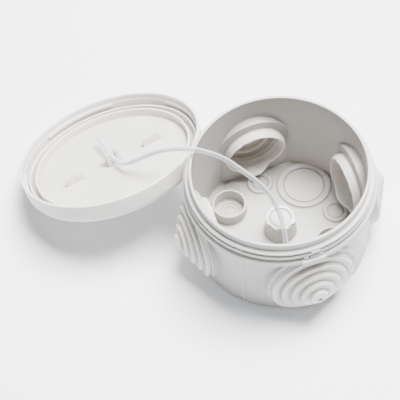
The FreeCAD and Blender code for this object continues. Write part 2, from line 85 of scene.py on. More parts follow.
def addCamera(s):
    # the camera's right, up and forward, tilted down and rolled, then turned about the Z axis;
    # it stands where those three bring the part's origin to the offset
    down, roll, turn = (math.radians(s[k]) for k in ("downDeg", "rollDeg", "turnDeg"))
    flatRight = np.array([1, 0, 0])
    flatUp = np.array([0, math.sin(down), math.cos(down)])
    forward = np.array([0, math.cos(down), -math.sin(down)])
    right = math.cos(roll) * flatRight + math.sin(roll) * flatUp
    up = -math.sin(roll) * flatRight + math.cos(roll) * flatUp
    spin = np.array([[math.cos(turn), math.sin(turn), 0], [-math.sin(turn), math.cos(turn), 0], [0, 0, 1]])
    rows = np.array([right, up, forward]) @ spin.T
    place = -rows.T @ np.array(s["offset"]) * mm
    camera = bpy.data.objects.new("camera", bpy.data.cameras.new("camera"))
    bpy.context.scene.collection.objects.link(camera)
    camera.data.sensor_width = s["film"]
    camera.data.lens = s["film"] * s["focalPx"] / s["framePx"]
    camera.data.clip_start, camera.data.clip_end = s["near"], s["far"]
    facing = Matrix([[rows[0][i], rows[1][i], -rows[2][i]] for i in range(3)]).to_4x4()
    camera.matrix_world = Matrix.Translation(Vector(place)) @ facing
    bpy.context.scene.camera = camera


addCamera(view)
print("camera set")


# Surfaces: each is a grid of points, rows by columns, and several make one mesh

shortest = 0.004  # a corner cut back by less stays sharp
fullest = 0.42  # the share of a straight run that the curve at either end may take
runOn = 0.04  # the share of a straight run at which the extra point lies at most
shadePull, highlightPull = 0.55, 0.45  # painted shade at hollow corners and painted highlight at outer ones, per radian of turn
joined, vanished = 2e-6, 1e-7  # metres: points this near are one, edges this short go


def rounded(corners, fillets, steps=4, hold=0.35):
    # every corner is swapped for a curve P(u) = (1-u)^2 A + 2u(1-u) P + u^2 B between points A and B
    # that lie one tangent length before and after it, with one more point on each straight run
    corners = np.array(corners, float)
    fillets = np.broadcast_to(np.asarray(fillets, float), (len(corners),))
    line = [corners[:1]]
    for before, here, after, fillet in zip(corners, corners[1:], corners[2:], fillets[1:]):
        arrive, leave = here - before, after - here
        arriveLength, leaveLength = np.linalg.norm(arrive), np.linalg.norm(leave)
        arrive, leave = arrive / arriveLength, leave / leaveLength
        cross = arrive[0] * leave[1] - arrive[1] * leave[0]
        turn = abs(math.atan2(cross, arrive @ leave))
        reach = min(fillet * math.tan(turn / 2), fullest * arriveLength, fullest * leaveLength)
        if reach < shortest:
            line.append(here[None])
            continue
        a, b = here - arrive * reach, here + leave * reach
        u = np.linspace(0, 1, steps)[:, None]
        head = a - arrive * min(hold * reach, runOn * arriveLength)
        tail = b + leave * min(hold * reach, runOn * leaveLength)
        line.append(np.vstack([head, (1 - u) ** 2 * a + 2 * u * (1 - u) * here + u ** 2 * b, tail]))
    line.append(corners[-1:])
    return np.vstack(line)


def profile(rows, steps=4, raised=0):
    # rows of (radius, height, fillet): the rounded line through them, raised by a height
    rows = np.array(rows, float)
    return rounded(rows[:, :2] + [0, raised], rows[:, 2], steps)


def filled(line, step):
    # long runs of a line get points in between, no further apart than step
    pieces = []
    for a, b in zip(line, line[1:]):
        count = max(1, int(math.ceil(np.linalg.norm(b - a) / step)))
        pieces.append(a + (b - a) * (np.arange(count) / count)[:, None])
    return np.vstack(pieces + [line[-1:]])


def cornerPaintedShading(line, hollowWidth=0.45, edgeWidth=0.3):
    # painted shading for each point of a line: painted shade near hollow corners, below 0, and painted
    # highlight near outer ones, above 0, as the sum over corners of turn * exp(-(distance along the line /
    # width)^2)
    run = np.diff(line, axis=0)
    heading = np.arctan2(run[:, 1], run[:, 0])
    turn = np.zeros(len(line))
    turn[1:-1] = (np.diff(heading) + np.pi) % (2 * np.pi) - np.pi
    along = np.concatenate([[0], np.cumsum(np.hypot(run[:, 0], run[:, 1]))])
    gap = along[:, None] - along[None, :]
    hollow = np.exp(-(gap / hollowWidth) ** 2) @ np.minimum(turn, 0)
    edge = np.exp(-(gap / edgeWidth) ** 2) @ np.maximum(turn, 0)
    return np.clip(hollow * shadePull + edge * highlightPull, -1, 1)


def turned(line, columns, shift=None, drop=None):
    # (radius, height) carried round the Z axis: x = r cos t, y = r sin t, z = h
    line = np.array(line, float)
    angle = np.arange(columns) * 2 * np.pi / columns
    r = np.broadcast_to(line[:, :1], (len(line), columns)).copy()
    h = np.broadcast_to(line[:, 1:2], (len(line), columns)).copy()
    if shift is not None:
        r, h = shift(r, h, angle[None, :])
    # every row carries the painted shade and painted highlight of the line's corners
    return patch(np.stack([r * np.cos(angle), r * np.sin(angle), h], axis=2), drop=drop, crease=cornerPaintedShading(line))


def patch(points, drop=None, crease=None):
    # a grid whose last column joins its first, with a painted shading value for each row: painted shade below
    # 0, painted highlight above 0
    rows = np.zeros(len(points)) if crease is None else crease
    return {"points": points, "drop": drop, "crease": rows}


def toned(patches, crease):
    # the same painted shading value all over a patch: painted shade below 0, painted highlight above 0
    return [dict(p, crease=np.full(len(p["points"]), crease)) for p in patches]


def placed(patches, matrix, origin=(0, 0, 0)):
    # p' = M p + origin for every point
    matrix = np.array(matrix, float)
    return [dict(p, points=p["points"] @ matrix.T + np.array(origin, float)) for p in patches]


def turnMatrix(axis, degrees):
    return np.array(Matrix.Rotation(math.radians(degrees), 3, axis))


def arcBar(loop, start, end, columns=24, bevel=0.3):
    # a closed (radius, height) loop carried round Z from start to end degrees; at both ends it
    # shrinks to its middle on a quarter circle, so the bar ends in rounded faces
    middle = loop.mean(axis=0)
    half = np.maximum(np.abs(loop - middle).max(axis=0), 1e-6)
    trim = np.degrees(bevel / middle[0])
    ease = np.linspace(0, np.pi / 2, 5)
    inset = bevel * np.concatenate([1 - np.sin(ease), np.zeros(columns - 2), 1 - np.sin(ease[::-1])])
    angles = np.concatenate([start + trim * (1 - np.cos(ease)),
                             np.linspace(start + trim, end - trim, columns)[1:-1],
                             end - trim * (1 - np.cos(ease[::-1]))])
    rows = []
    for angle, cut in zip(np.radians(angles), inset):
        scaled = middle + (loop - middle) * (1 - cut / half)
        out, up = scaled[:, 0], scaled[:, 1]
        rows.append(np.column_stack([out * math.cos(angle), out * math.sin(angle), up]))
    body = np.array(rows)
    foot, head = (np.repeat(row.mean(axis=0)[None], len(row), axis=0) for row in (body[0], body[-1]))
    return [patch(body), patch(np.array([body[-1], head])), patch(np.array([foot, body[0]]))]


def loopOf(corners, fillet, steps=4):
    # a closed outline with its corners rounded, anticlockwise
    corners = np.array(corners, float)
    middle = (corners[0] + corners[-1]) / 2
    line = rounded(np.vstack([middle, corners, middle]), fillet, steps)
    return line[:-1]


def softBlock(size, fillet, lean=(0, 0), steps=5):
    # a block with rounded edges, base on z 0: an upright (across, up) half outline is carried round a
    # rounded rectangle, and its sides lean in by the given shares of the height
    half = np.array(size[:2]) / 2
    outline = loopOf([(-half[0], -half[1]), (half[0], -half[1]), (half[0], half[1]), (-half[0], half[1])],
                     fillet, steps)
    u = np.linspace(0, np.pi / 2, steps)
    sunk = -0.3  # the block's foot goes this deep into what it stands on
    ups = np.concatenate([[sunk, 0], size[2] - fillet + fillet * np.sin(u)])
    ins = np.concatenate([[0, 0], fillet * (1 - np.cos(u))])
    rows = []
    for up, inset in zip(ups, ins):
        share = 1 - (inset + np.array(lean) * max(up, 0)) / half
        rows.append(np.column_stack([outline * share, np.full(len(outline), up)]))
    rows.append(np.column_stack([np.zeros_like(outline), np.full(len(outline), size[2])]))
    return [patch(np.array(rows))]


def makePiece(name, patches, slot, body=None):
    # all grids are joined in one mesh; each cell is a quad whose face points out of the material.
    # The attribute which the finishes read holds each point's painted shading: painted shade near hollow
    # corners, painted highlight near outer ones
    verts, faces, paintedShadingValues, start = [], [], [], 0
    for p in patches:
        points = p["points"]
        rows, columns = points.shape[:2]
        k, j = np.meshgrid(np.arange(rows - 1), np.arange(columns), indexing="ij")
        nextJ = (j + 1) % columns
        quads = np.stack([k * columns + j, k * columns + nextJ, (k + 1) * columns + nextJ,
                          (k + 1) * columns + j], axis=2).reshape(-1, 4)
        flat = points.reshape(-1, 3)
        if p["drop"] is not None:
            quads = quads[~p["drop"](flat[quads].mean(axis=1))]
        verts.append(flat)
        paintedShadingValues.append(np.repeat(p["crease"], columns))
        faces.append(quads + start)
        start += len(flat)
    mesh = bpy.data.meshes.new(name)
    mesh.from_pydata(np.vstack(verts) * mm, [], np.vstack(faces).tolist())
    mesh.attributes.new("crease", "FLOAT", "POINT").data.foreach_set("value", np.concatenate(paintedShadingValues))
    work = bmesh.new()
    work.from_mesh(mesh)
    bmesh.ops.remove_doubles(work, verts=work.verts, dist=joined)
    bmesh.ops.dissolve_degenerate(work, edges=work.edges, dist=vanished)
    bmesh.ops.delete(work, geom=[v for v in work.verts if not v.link_faces], context="VERTS")
    work.to_mesh(mesh)
    work.free()
    mesh.polygons.foreach_set("use_smooth", np.ones(len(mesh.polygons), bool))
    mesh.update()
    piece = bpy.data.objects.new(name, mesh)
    bpy.context.scene.collection.objects.link(piece)
    if body:
        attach(piece, body)
    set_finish(piece, slot)
    return piece


# The cord comes first: its line is set before what it passes over

cordSizes = {
    "diameter": 2.0, "length": 143.3,
    "route": [(-2.2, -13.5, 2.0), (-2.2, -13.5, 7.5), (-0.5, -5.0, 15.0), (-2.0, 2.0, 24.0),
              (-6.5, 5.0, 33.5), (-12.5, 7.0, 42.5), (-19.5, 12.5, 49.5), (-29.0, 18.0, 52.5),
              (-36.0, 25.0, 47.0), (-41.5, 31.5, 39.5), (-47.5, 36.0, 32.0), (-54.0, 39.8, 25.2),
              (-56.5, 45.2, 20.6), (-58.7, 56.2, 16.6), (-60.0, 65.5, 14.4)],
    # its ends: (share of the radius, distance along the cord in radii)
    "cut": [(0.0, 0.0), (0.6, 0.0), (0.86, 0.03), (0.97, 0.12)],
    # where it stops following the cup, and where it starts following the lid
    "bendStart": (-36.0, 27.0, 46.0), "bendEnd": (-44.0, 34.0, 37.0),
}


def splinePath(route, per=14):
    # the points of a quadratic spline with these control points, as Blender gives them
    curve = bpy.data.curves.new("cordLine", "CURVE")
    curve.dimensions = "3D"
    curve.resolution_u = per
    spline = curve.splines.new("NURBS")
    spline.points.add(len(route) - 1)
    for point, place in zip(spline.points, route):
        point.co = (*(v * mm for v in place), 1)
    spline.order_u = 3
    spline.use_endpoint_u = True
    holder = bpy.data.objects.new("cordLine", curve)
    bpy.context.scene.collection.objects.link(holder)
    bpy.context.view_layer.update()
    mesh = bpy.data.meshes.new_from_object(holder)
    path = np.array([v.co for v in mesh.vertices]) / mm
    bpy.data.objects.remove(holder)
    return path


def tube(path, radius, cut, sides=20):
    # a circle carried along the path on frames that don't twist, closed at both ends by a rounded cut
    tangent = np.gradient(path, axis=0)
    tangent /= np.linalg.norm(tangent, axis=1)[:, None]
    normal = np.cross(tangent[0], [0.3, 0.2, 0.93])
    normals = []
    for t in tangent:
        normal = normal - t * (normal @ t)
        normal /= np.linalg.norm(normal)
        normals.append(normal)
    normals = np.array(normals)
    side = np.cross(tangent, normals)
    angle = np.arange(sides) * 2 * np.pi / sides
    ring = np.cos(angle)[None, :, None] * normals[:, None] + np.sin(angle)[None, :, None] * side[:, None]
    rows = path[:, None] + radius * ring
    head = [path[0] + radius * (share * ring[0] + along * tangent[0]) for share, along in cut]
    tail = [path[-1] + radius * (share * ring[-1] - along * tangent[-1]) for share, along in reversed(cut)]
    return [patch(np.concatenate([head, rows[1:-1], tail]))]


cordPath = splinePath(cordSizes["route"])
cord = makePiece("tether_cord_soft", tube(cordPath, cordSizes["diameter"] / 2, cordSizes["cut"]), "cord")
print("cord laid, points", len(cordPath))


# The cup

cup = {
    "height": 48.0, "inner": 35.0, "floor": 2.0, "floorEdge": 1.1, "foot": 36.8, "footBevel": 0.8,
    "wall": 37.4,
    # the rim: lip, ledge, the band that the lid snaps over, and the flange under it
    "lip": 36.1, "ledge": 37.9, "ledgeTop": 44.5, "ledgeFoot": 43.6,
    "band": 38.2, "bandTop": 42.8, "bandFoot": 40.9, "groove": 37.5,
    "flange": 39.2, "flangeTop": 39.9, "flangeSlope": 39.25, "flangeFoot": 37.5,
    # the cable entries: height and radii of the boss outside, its hole, and the flat pad inside
    "entry": 20.6, "boss": 19.0, "bossFace": 36.0, "bossRoot": 36.3, "hole": 13.6,
    "padEntry": 19.9, "pad": 31.4, "padSide": 15.0, "padArch": 17.2, "padHole": 13.0, "padRoot": 35.6,
    "padEdge": 0.35, "padHoleEdge": 0.3, "padSunk": 0.3,
    # where things stand on the floor
    "wells": [(-16.79, 16.79), (16.95, -16.1)], "knockouts": [(17.32, 17.32), (-17.32, -17.32)],
    "smallRings": [(25.2, 0), (0, 25.2), (-25.2, 0), (0, -25.2)],
    "stud": (-2.2, -13.5), "dimple": (-11.1, 27.3),
    # openings in the walls and the floor, each hidden under what stands there
    "wallGap": 18.0, "innerGap": 12.7, "wellGap": 6.8, "knockoutGap": 11.1,
    "columns": 216, "wallStep": 1.2, "rimStep": 1.0,
    # painted shading: its share on the rim's corners, the painted highlight on the ledge and the flange's
    # slope, and on the raised seam
    "rimPaintedShare": 0.6, "paintedHighlightOnTops": 0.8, "seamPaintedHighlight": 0.9,
    # what stands on the floor, as rows of (radius, height above the floor, fillet); each starts in
    # a thin skirt that lies on the floor
    "stands": {
        "well": [(7.95, -0.02, 0), (7.9, 0.02, 0.05), (7.25, 0.02, 0.2), (7.2, 5.5, 0.3), (6.4, 5.5, 0.3),
                 (6.35, -0.6, 0.4), (4.3, -0.6, 0.12), (4.2, -1.0, 0.12), (2.9, -1.0, 0.12),
                 (2.8, -1.4, 0.12), (0.9, -1.4, 0.1), (0.7, -1.2, 0.1), (0, -1.2, 0)],
        "post": [(7.6, -0.02, 0), (7.55, 0.02, 0.05), (6.9, 0.02, 0.25), (6.0, 8.4, 0.35), (4.7, 8.4, 0.3),
                 (4.7, 1, 0)],
        "stud": [(3.7, -0.02, 0), (3.6, 0.02, 0.05), (2.9, 0.02, 0.2), (2.9, 3, 0.3), (1.5, 3, 0.3),
                 (1.45, -0.3, 0)],
        "dimple": [(3.1, -0.3, 0), (3.0, 0.12, 0.1), (2.6, 0.12, 0.1), (2.6, -0.3, 0)],
    },
    # bars on the rim and the wall: the section's (radius, height) corners, its fillet, and for each
    # bar its start and end in degrees round the cup, its columns and its bevel
    "bars": {
        "tab": ([(37.0, 36.8), (40.0, 36.9), (40.0, 39.7), (37.0, 40.1)], 0.3, [(262.0, 276.3, 24, 0.3)]),
        "step": ([(36.9, 39.9), (38.9, 39.6), (38.7, 41.2), (36.9, 41.2)], 0.25,
                 [(263.6, 266.6, 10, 0.2), (267.3, 275.6, 16, 0.2)]),
        "bridge": ([(36.6, 42.3), (38.6, 42.3), (38.45, 43.75), (36.6, 43.75)], 0.2,
                   [(267.9, 273.6, 12, 0.15)]),
        "flash": ([(36.9, 42.3), (38.05, 42.3), (38.0, 43.6), (36.9, 43.6)], 0.15,
                  [(223.3, 224.3, 4, 0.1), (225.4, 226.6, 4, 0.1)]),
        "seam": ([(36.3, 1.3), (37.05, 1.3), (37.62, 37.5), (36.9, 37.5)], 0.12,
                 [(225.0, 226.0, 4, 0.12)]),
    },
}
turns = [math.radians(a) for a in (0, 90, 180, 270)]


def entryMatrix(turn):
    # local x sideways, y up, z out of the box
    return np.array([[-math.sin(turn), 0, math.cos(turn)], [math.cos(turn), 0, math.sin(turn)], [0, 1, 0]])


def nearestTurn(angle):
    return np.round(angle / (np.pi / 2)) * np.pi / 2


def offEntry(centres, height):
    # distance of each point from the axis of the entry that it faces
    turn = nearestTurn(np.arctan2(centres[:, 1], centres[:, 0]))
    across = -np.sin(turn) * centres[:, 0] + np.cos(turn) * centres[:, 1]
    return np.hypot(across, centres[:, 2] - height)


def rimPaintedShading(c, rim):
    # painted shade only in the grooves; the ledge and the flange's slope get a painted highlight as light as
    # an edge's
    out, up = rim[:, 0], rim[:, 1]
    tones = cornerPaintedShading(rim) * c["rimPaintedShare"]
    tones = np.where(up > c["ledgeFoot"] + 0.2, np.maximum(tones, 0), tones)
    onLedge = (np.abs(up - c["ledgeTop"]) < 0.3) & (out > c["lip"] + 0.02)
    onSlope = (up > c["flangeSlope"] - 0.2) & (up < c["flangeTop"] + 0.05) & (out > c["groove"] + 0.1)
    return np.where(onLedge | onSlope, c["paintedHighlightOnTops"], tones)


def cupWalls(c):
    # two lines turned about Z: foot, wall, rim and lip outside, then the hollow's wall and floor
    outside = profile([
        (0, 0, 0), (c["foot"] - c["footBevel"], 0, 0.5), (c["foot"], c["footBevel"], 0.6),
        (c["wall"], c["flangeFoot"], 0.5), (c["flange"], c["flangeFoot"], 0.5),
        (c["flange"], c["flangeSlope"], 0.4),
        (c["groove"] + 0.2, c["flangeTop"], 0.1), (c["groove"], c["flangeTop"], 0.12),
        (c["groove"], c["bandFoot"], 0.12), (c["band"], c["bandFoot"], 0.35),
        (c["band"], c["bandTop"], 0.35), (c["groove"], c["bandTop"], 0.12),
        (c["groove"], c["ledgeFoot"], 0.12), (c["ledge"], c["ledgeFoot"], 0.25),
        (c["ledge"], c["ledgeTop"], 0.35), (c["lip"], c["ledgeTop"], 0.45),
        (c["lip"], c["height"], 0.2), (c["inner"], c["height"], 0.2), (c["inner"], c["height"] - 2, 0)])
    split = int(np.argmax(outside[:, 1] > c["flangeFoot"] - 0.9))
    wall, rim = filled(outside[:split + 1], c["wallStep"]), filled(outside[split:], c["rimStep"])

    inside = profile([(c["inner"], c["height"] - 2, 0), (c["inner"], c["floor"], c["floorEdge"]),
                      (0, c["floor"], 0)])
    split = int(np.argmax(inside[:, 0] < c["inner"] - c["floorEdge"] - 0.1))
    inner, floor = filled(inside[:split + 1], c["wallStep"]), filled(inside[split:], c["rimStep"])

    def flatten(r, h, angle):
        # where a boss stands, the wall gives way behind its flat face: r = face / cos t
        off = angle - nearestTurn(angle)
        inDisc = np.hypot(r * np.sin(off), h - c["entry"]) < c["boss"] - 0.15
        limit = (c["bossFace"] - 0.35) / np.cos(off)
        return np.where(inDisc & (h > 0.9), np.minimum(r, limit), r), h

    def openWall(centres):
        return (offEntry(centres, c["entry"]) < c["wallGap"]) & (np.hypot(centres[:, 0], centres[:, 1]) > 20)

    def openInner(centres):
        return offEntry(centres, c["padEntry"]) < c["innerGap"]

    def openFloor(centres):
        gone = np.zeros(len(centres), bool)
        for places, gap in ((c["wells"], c["wellGap"]), (c["knockouts"], c["knockoutGap"])):
            for x, y in places:
                gone |= np.hypot(centres[:, 0] - x, centres[:, 1] - y) < gap
        return gone

    n = c["columns"]
    return [turned(wall, n, flatten, openWall), dict(turned(rim, n), crease=rimPaintedShading(c, rim)),
            turned(inner, n, drop=openInner), turned(floor, n, drop=openFloor)]


def bossRound(c):
    # the flat face and its round side, which ends in the wall: depth = sqrt(R^2 - across^2)
    line = profile([(c["hole"], c["pad"], 0), (c["hole"], c["bossFace"], 0.15),
                    (c["boss"], c["bossFace"], 0.55), (c["boss"], c["pad"], 0)])[::-1]

    def sink(r, h, angle):
        wall = np.sqrt(np.maximum(c["bossRoot"] ** 2 - (r * np.cos(angle)) ** 2, 1))
        deep = (h < c["bossFace"] - 0.8) & (r > c["boss"] - 0.1)
        return r, np.where(deep, np.minimum(wall, c["bossFace"] - 0.7), h)

    return [turned(line, 120, sink)]


def innerPad(c, columns=180):
    # the flat pad in loops (r cos t, r sin t, depth): the hole's edge, the face, the outer edge and
    # the side down to the wall; r of the outline is the least of the arch, the sides and the floor
    angle = np.arange(columns) * 2 * np.pi / columns
    across, upward = np.cos(angle), np.sin(angle)
    toSide = c["padSide"] / np.maximum(np.abs(across), 1e-6)
    toFloor = (c["padEntry"] - c["floor"] + c["padSunk"]) / np.maximum(-upward, 1e-6)
    reach = np.minimum(toSide, np.where(upward < 0, toFloor, c["padArch"]))
    hole, face, holeEdge, edge = c["padHole"], c["pad"], c["padHoleEdge"], c["padEdge"]

    def loop(radius, depth):
        return np.stack([radius * across, radius * upward, np.broadcast_to(depth, angle.shape)], axis=1)

    bends = np.linspace(0, np.pi / 2, 5)
    rows = [loop(hole, c["inner"]), loop(hole, face + holeEdge)]
    rows += [loop(hole + holeEdge * (1 - np.cos(b)), face + holeEdge * (1 - np.sin(b))) for b in bends[1:]]
    flat = reach - edge - hole - holeEdge
    rows += [loop(hole + holeEdge + flat * share, face) for share in (0.12, 0.5, 0.9)]
    rows += [loop(reach - edge * (1 - np.sin(b)), face + edge * (1 - np.cos(b))) for b in bends]
    back = np.sqrt(np.maximum(c["padRoot"] ** 2 - (reach * across) ** 2, 1))
    rows.append(loop(reach, np.maximum(back, face + 0.4)))
    return [patch(np.array(rows)[::-1])]


def ringLine(outside, disc, deep):
    # shoulder, crest, fall to the disc and a thin groove round it
    return [(outside + 0.7, -0.02, 0), (outside + 0.65, 0.02, 0.05), (outside, 0.02, 0.15),
            (outside - 0.5, 1.1, 0.3), (outside - 1.3, 1.1, 0.3), (disc + 0.6, 0.55, 0.1),
            (disc + 0.55, 0.55 - deep, 0.05), (disc + 0.05, 0.55 - deep, 0.05), (disc, 0.5, 0.1), (0, 0.5, 0)]


def floorDetails(c):
    # each line is turned about its own upright axis
    lines, found = c["stands"], []

    def stand(rows, place, steps=3, columns=96):
        found.extend(placed([turned(profile(rows, steps, c["floor"]), columns)], np.eye(3), (*place, 0)))

    for place in c["knockouts"]:
        stand(ringLine(11.8, 8.4, 0.5), place)
    for place in c["smallRings"]:
        stand(ringLine(5.7, 3.0, 0.25), place, columns=72)
    for place in c["wells"]:
        stand(lines["well"], place)
    stand(lines["post"], (0, 0), 4)
    stand(lines["stud"], c["stud"], 4, 48)
    stand(lines["dimple"], c["dimple"], 4, 48)
    return found


def rimDetails(c):
    # the catch tab, the steps above it, the bridge over the upper groove, bits of flash and the seam
    found = []
    for name, (corners, fillet, spans) in c["bars"].items():
        for span in spans:
            bar = arcBar(loopOf(corners, fillet), *span)
            # the seam is painted lighter all over, a painted highlight
            found += toned(bar, c["seamPaintedHighlight"]) if name == "seam" else bar
    return found


housing = cupWalls(cup) + floorDetails(cup) + rimDetails(cup)
for turn in turns:
    housing += placed(bossRound(cup), entryMatrix(turn), (0, 0, cup["entry"]))
    housing += placed(innerPad(cup), entryMatrix(turn), (0, 0, cup["padEntry"]))
housingPiece = makePiece("base_housing_moulding", housing, "housing", "base")
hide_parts("base_housing")
print("cup made, faces", len(housingPiece.data.polygons))


# The soft stepped grommets

grommet = {
    # outside: radii from the tip to the flange, and their distances from the box's axis
    "tip": 3.5, "reach": 45.2, "flange": 17.2, "front": 37.7, "face": 36.05, "steps": 4,
    "flare": 0.3, "edge": 0.35, "nub": 0.7, "dimple": 0.5, "gateDrop": 1.5, "hang": 1.6,
    # inside: neck in the hole, inner lip and collar
    "neck": 13.45, "root": 13.3, "belly": (13.6, 28.5), "collarEnd": 26.2, "collarTip": 12.7, "bore": 12.1,
    "pad": 31.38, "skin": 1.4, "lip": 0.45, "lipEnd": 33.3,
    "columns": 144, "longest": 2.2,
    # painted shading: shares of the painted shade in hollows and the painted highlight on edges inside the
    # cone, painted light all over the collar's inside, painted highlight on edges outside
    "innerPaintedShade": 0.7, "innerPaintedHighlight": 2.2, "collarPaintedLight": 0.4, "outerPaintedHighlight": 0.7,
    # how the collar's free edge was cut: (angle from the side, distance from the box's axis)
    "cuts": {
        "right": [(10, 27.6), (45, 27.2), (90, 27.2), (140, 27.6), (180, 27.9), (210, 28.8), (255, 28.8),
                  (280, 26.5), (298, 27.2), (315, 27.6), (330, 27.2)],
        "back": [(0, 28.8), (30, 27.3), (90, 27.0), (150, 27.0), (180, 27.6), (210, 28.6), (240, 29.6),
                 (265, 26.3), (280, 26.3), (288, 27.6), (312, 28.6), (335, 28.4)],
        "left": [(0, 27.6), (30, 28.6), (60, 28.9), (90, 28.4), (120, 28.2), (150, 28.2), (200, 28.8),
                 (235, 27.0), (280, 26.5), (330, 28.2)],
        "front": [(0, 26.4), (60, 26.3), (120, 27.2), (160, 26.4), (200, 27.5), (250, 29.8), (290, 27.0),
                  (330, 26.6)],
    },
    "grain": 0.12, "grainPoints": 48,  # unevenness of the cut
    # the torn flap at the front one's gate: its block, its turn, and its place from the axis
    "flap": ((0.55, 1.7, 0.7), 0.15, (0.15, 0.1)), "flapTurn": 20, "flapPlace": (0.8, -2.2), "flapSunk": 0.32,
}


def grommetLine(g):
    # from the middle inside, along the thin skin, the collar, the neck and the flange, and over
    # the steps to the middle outside, as (radius, distance from the box's axis, fillet)
    n = g["steps"]
    radii = np.linspace(g["tip"], g["flange"], n + 1)
    fronts = np.linspace(g["reach"], g["front"], n + 1)
    flare, skin, edge = g["flare"], g["skin"], g["edge"]
    rows = [(0, g["reach"] - skin, 0)]
    for k in range(n - 1):
        inside, level = radii[k] - skin, fronts[k + 1] - skin
        rows += [(inside, fronts[k] - skin, 0.2), (inside + flare, level - 0.35, 0.2),
                 (inside + flare + 0.7, level, 0.3)]
    rows += [(g["bore"] + 1.2, fronts[n - 1] - skin + 0.1, 0.4), (g["bore"] + 1.1, g["face"] + 0.9, 0.4),
             (g["bore"] - g["lip"], g["face"] + 0.4, 0.2), (g["bore"] - g["lip"], g["lipEnd"], 0.2),
             (g["bore"], g["lipEnd"] - 0.3, 0.2), (g["bore"], g["collarEnd"], 0.12),
             (g["collarTip"], g["collarEnd"], 0.15), (*g["belly"], 2.0), (g["root"], g["pad"], 0.3),
             (g["neck"], g["pad"], 0.1), (g["neck"], g["face"], 0.1), (g["flange"] + 0.05, g["face"], 0.35),
             (g["flange"], g["front"], edge)]
    for k in range(n - 1, -1, -1):
        rows += [(radii[k] + flare, fronts[k + 1] + 0.1, 0.2), (radii[k], fronts[k], edge)]
    rows += [(g["nub"] + 0.35, g["reach"], 0.15), (g["nub"], g["reach"] - g["dimple"], 0.15),
             (0, g["reach"] - g["dimple"], 0)]
    return filled(profile(rows, 6), g["longest"])


def grommetPaintedShading(g, line):
    # inside the cone the painted shade keeps to narrower hollows and the painted highlight on the ridges is
    # stronger than outside; the collar's inside is painted lighter all over
    out, up = line[:, 0], line[:, 1]
    within = (out < g["bore"] + 1.3) & (np.arange(len(line)) < np.argmax(up < g["lipEnd"]))
    onCollar = (np.abs(out - g["bore"]) < 0.2) & (up < g["lipEnd"] - 0.1)
    inner, outer = cornerPaintedShading(line, 0.5, 0.3), cornerPaintedShading(line)
    inner = np.where(inner < 0, inner * g["innerPaintedShade"], np.minimum(inner * g["innerPaintedHighlight"], 1))
    outer = np.where(outer > 0, outer * g["outerPaintedHighlight"], outer)
    return np.where(within, inner, np.where(onCollar, g["collarPaintedLight"], outer))


def grommetSurface(g, side):
    # the line turned about the cone's own axis; the free end of the collar follows the cut edge
    line = grommetLine(g)
    cut = np.array(g["cuts"][side])
    grain = rng.normal(0, g["grain"], g["grainPoints"])
    grainAt = np.arange(g["grainPoints"]) * 360 / g["grainPoints"]

    def trim(r, h, angle):
        share = np.clip((g["pad"] - 0.4 - h) / (g["pad"] - 0.4 - g["collarEnd"]), 0, 1)
        degrees = np.degrees(angle) % 360
        wave = np.interp(degrees, cut[:, 0], cut[:, 1], period=360) - g["collarEnd"]
        wave = wave + np.interp(degrees, grainAt, grain, period=360)
        return r, h + np.where(r > g["bore"] - 0.2, share * np.maximum(wave, 0), 0)

    made = turned(line, g["columns"], trim)
    made["crease"] = grommetPaintedShading(g, line)
    # outside the wall the soft cone hangs a little, and the gate mark in its tip sits low
    points = made["points"]
    points[..., 1] -= g["hang"] * np.clip((points[..., 2] - g["face"]) / 1.2, 0, 1)
    fromTip = np.hypot(points[..., 0], points[..., 1] + g["hang"]) / g["tip"]
    points[..., 1] -= g["gateDrop"] * np.clip(1 - fromTip, 0, 1) * (points[..., 2] > g["reach"] - 1)
    return [made]


for side, turn in zip(("right", "back", "left", "front"), turns):
    shape = grommetSurface(grommet, side)
    if side == "front":
        x, y = grommet["flapPlace"]
        flap = placed(softBlock(*grommet["flap"]), turnMatrix("Z", grommet["flapTurn"]))
        shape += placed(flap, np.eye(3), (x, y - grommet["hang"], grommet["reach"] - grommet["flapSunk"]))
    piece = makePiece("grommet_" + side + "_soft", placed(shape, entryMatrix(turn), (0, 0, cup["padEntry"])),
                      "grommet", "base")
    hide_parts("cable_grommet_" + side)
print("grommets made")


# The torn cap on the centre post

cap = {
    "foot": 10.4, "thick": 1.15, "outer": 6.0, "plug": 4.6, "plugEnd": 6.6,
    "ringOut": 4.8, "ringIn": 3.9, "ringSink": 0.6, "dish": 0.35, "columns": 120,
    # its torn edge: (angle, radius)
    "edge": [(0, 6.1), (20, 6.0), (45, 6.2), (70, 6.1), (100, 6.15), (130, 6.05), (150, 6.2), (172, 5.9),
             (186, 6.35), (200, 5.6), (218, 5.8), (233, 6.2), (246, 5.5), (262, 5.7), (275, 6.25), (290, 5.6),
             (306, 5.8), (325, 6.7), (338, 6.0)],
}


